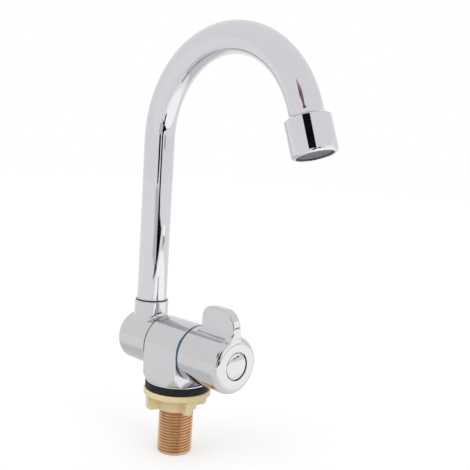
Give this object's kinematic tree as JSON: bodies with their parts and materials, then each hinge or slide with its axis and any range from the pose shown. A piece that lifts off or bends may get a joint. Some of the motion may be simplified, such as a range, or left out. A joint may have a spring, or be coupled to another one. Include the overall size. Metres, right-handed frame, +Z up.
{
  "type": "folding caravan tap",
  "caption": "Chrome cold-water tap with a swivelling gooseneck spout on a barrel that folds down sideways, a lever knob, and a threaded shank with a winged backnut.",
  "frame": {"origin": "centre of the gasket's underside, on the shank's axis, at the worktop's upper face", "axes": "+Z up, +X along the folding axis towards the knob, +Y to the back of the body"},
  "size_m": [0.1466, 0.0408, 0.2558],
  "materials": {
    "chrome": "polished",
    "brass": "machined",
    "steel": "plain",
    "rubber": "matt",
    "blue_plastic": "gloss",
    "cream_plastic": "satin",
    "black_plastic": "satin",
    "grey_plastic": "satin",
    "ceramic": "lapped"
  },
  "bodies": {
    "body": {"body_casting": "chrome", "tail_shank": "brass", "base_gasket": "rubber", "index_ring": "blue_plastic", "valve_body": "brass", "valve_seal": "rubber", "fixed_disc": "ceramic", "fold_washer": "black_plastic", "stop_screw": "steel"},
    "knob": {"handle": "chrome", "handle_screw": "steel", "index_cap": "chrome", "valve_spindle": "brass", "moving_disc": "ceramic", "spindle_o_ring": "rubber", "spindle_clip": "steel"},
    "barrel": {"fold_barrel": "chrome", "fold_o_rings": "rubber"},
    "spout": {"spout_tube": "chrome", "spout_spigot": "chrome", "spout_o_rings": "rubber", "spout_retainer": "steel", "spout_slip_ring": "black_plastic", "outlet_sleeve": "chrome", "stream_washer": "rubber", "stream_former": "grey_plastic", "stream_mesh": "steel"},
    "nut": {"backnut": "cream_plastic"}
  },
  "joints": [
    {"name": "fold", "type": "hinge", "parent": "body", "child": "barrel", "pos_m": [-0.028, 0, 0.0247], "axis": [1, 0, 0], "range_deg": [-90, 90]},
    {"name": "spout_swivel", "type": "hinge", "parent": "barrel", "child": "spout", "pos_m": [-0.0283, 0, 0.049], "axis": [0, 0, 1], "continuous": true},
    {"name": "handle_turn", "type": "hinge", "parent": "body", "child": "knob", "pos_m": [0.0165, 0, 0.0247], "axis": [1, 0, 0], "range_deg": [0, 90]},
    {"name": "backnut_travel", "type": "slide", "parent": "body", "child": "nut", "axis": [0, 0, -1], "range_m": [0, 0.025]}
  ]
}
